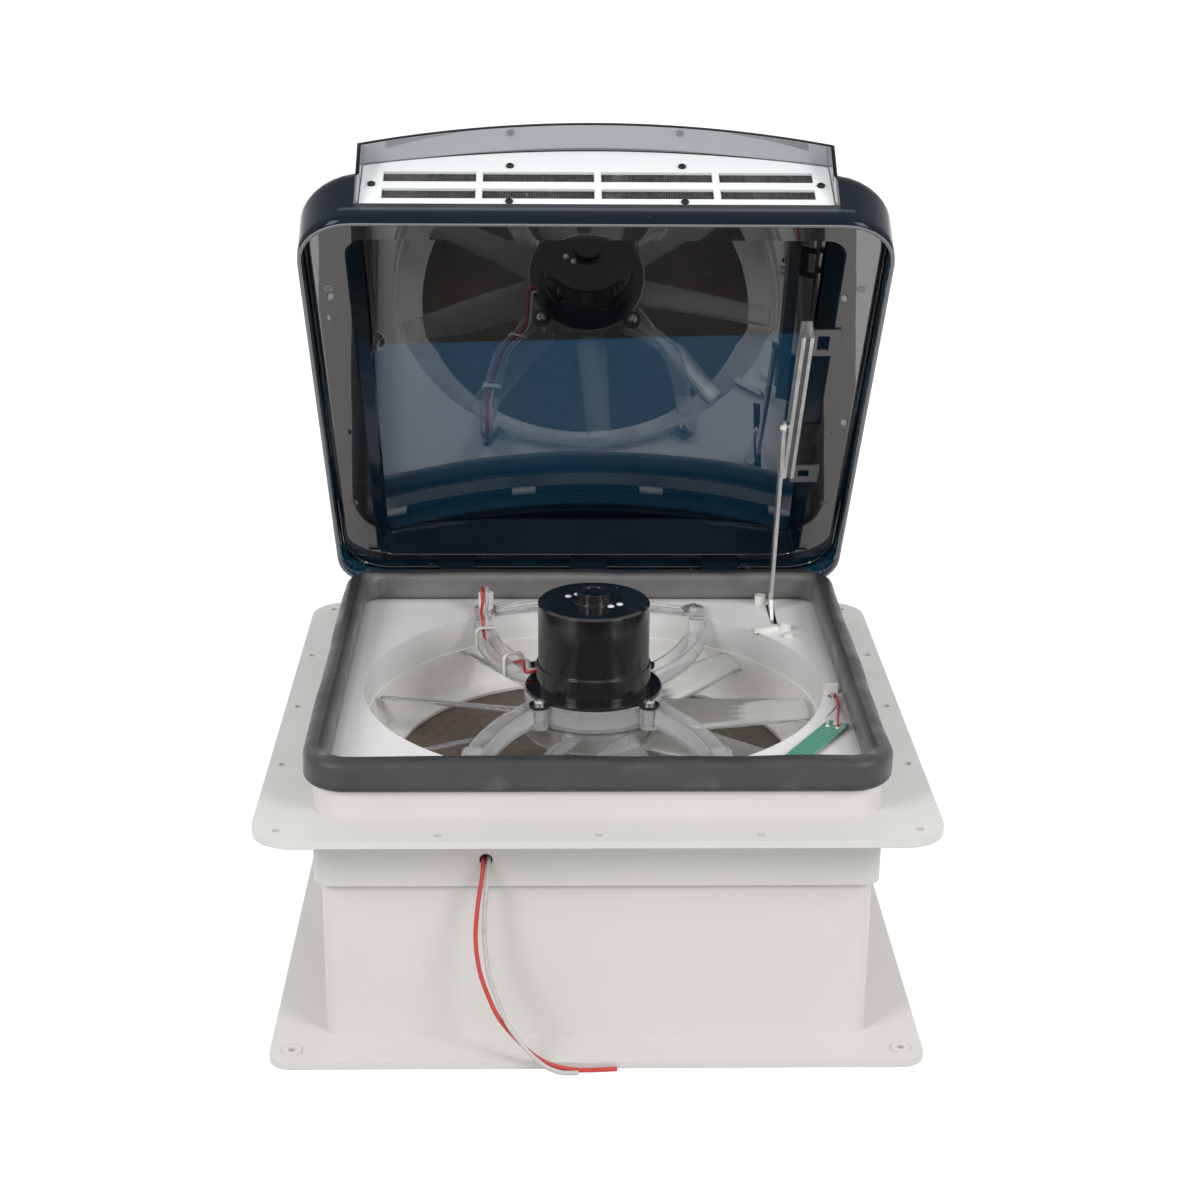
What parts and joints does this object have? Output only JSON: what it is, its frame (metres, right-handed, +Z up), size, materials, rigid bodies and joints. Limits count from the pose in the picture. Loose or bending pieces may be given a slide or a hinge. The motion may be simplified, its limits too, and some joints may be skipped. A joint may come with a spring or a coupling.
{
  "type": "roof vent fan",
  "caption": "Square roof vent fan with a smoked lid on a rear hinge, a powered lift arm, a round throat with a clear bladed fan, a rubber rim seal and a ceiling trim.",
  "frame": {"origin": "middle of the ceiling trim's four screw holes, on the trim's room face", "axes": "+Z up out of the roof, along the fan's axis; X along the lid's hinge; the lid opens towards -Y"},
  "size_m": [0.418, 0.4487, 0.5448],
  "materials": {
    "base_white": "satin moulded off-white plastic",
    "trim_white": "satin moulded off-white plastic",
    "ring_white": "satin moulded white plastic",
    "seal_rubber": "dark grey foam rubber, slightly glossy",
    "screen_wire": "dull bronze wire",
    "clip_white": "satin",
    "clear_plastic": "clear moulded plastic",
    "motor_black": "glossy black enamel",
    "zinc": "zinc plated",
    "red_wire": "glossy insulation",
    "white_wire": "glossy insulation",
    "tie_white": "satin nylon",
    "board": "green circuit board with bare tracks",
    "drive_black": "satin black plastic",
    "lid_smoke": "smoked acrylic, blue and glossy",
    "liner_smoke": "smoked acrylic, dark blue and glossy",
    "louvre_white": "glossy white plastic",
    "mesh": "dark woven mesh",
    "lift_steel": "zinc plated strip",
    "roller_plastic": "satin"
  },
  "bodies": {
    "base": {"roof_base": "base_white", "throat_ring": "ring_white", "rim_seal": "seal_rubber", "ceiling_trim": "trim_white", "insect_screen": "screen_wire", "screen_clips": "clip_white", "motor_bracket": "clear_plastic", "bracket_screws": "zinc", "motor_can": "motor_black", "motor_plate": "motor_black", "motor_end_bell": "motor_black", "motor_screws": "zinc", "wire_post": "clip_white", "motor_lead_red": "red_wire", "motor_lead_white": "white_wire", "cable_ties": "tie_white", "rain_sensor_board": "board", "sensor_terminals": "clip_white", "sensor_lead_red": "red_wire", "sensor_lead_white": "white_wire", "sensor_clip": "tie_white", "lift_gearbox": "drive_black", "lift_motor": "zinc", "slot_guard": "clip_white", "control_box": "drive_black", "lead_stub_red": "red_wire", "lead_stub_white": "white_wire", "supply_lead_red": "red_wire", "supply_lead_white": "white_wire", "hinge_stands": "base_white", "hinge_pin": "zinc"},
    "fan": {"fan_rotor": "clear_plastic", "motor_shaft": "zinc", "hub_nut": "zinc"},
    "lid": {"lid_shell": "lid_smoke", "lid_liner": "liner_smoke", "lid_screws": "zinc", "louvre_panel": "louvre_white", "louvre_mesh": "mesh", "louvre_screws": "zinc", "lid_hinge_leaf": "zinc", "lift_rail": "lift_steel", "rail_brackets": "lift_steel", "rail_block": "drive_black"},
    "arm": {"lift_arm": "lift_steel", "arm_pin": "zinc", "arm_roller": "roller_plastic", "arm_axle": "zinc"}
  },
  "joints": [
    {"name": "fan_spin", "type": "hinge", "parent": "base", "child": "fan", "pos_m": [0, 0, 0.1486], "axis": [0, 0, 1], "continuous": true},
    {"name": "lid_hinge", "type": "hinge", "parent": "base", "child": "lid", "pos_m": [0, 0.194, 0.182], "axis": [-1, 0, 0], "range_deg": [-54, 0]},
    {"name": "arm_pivot", "type": "hinge", "parent": "base", "child": "arm", "pos_m": [0.13425, 0.134, 0.164], "axis": [-1, 0, 0], "range_deg": [-69.2, 0]}
  ],
  "couplings": [
    {"joint": "arm_pivot", "follows": "lid_hinge", "ratio": 1.28}
  ]
}
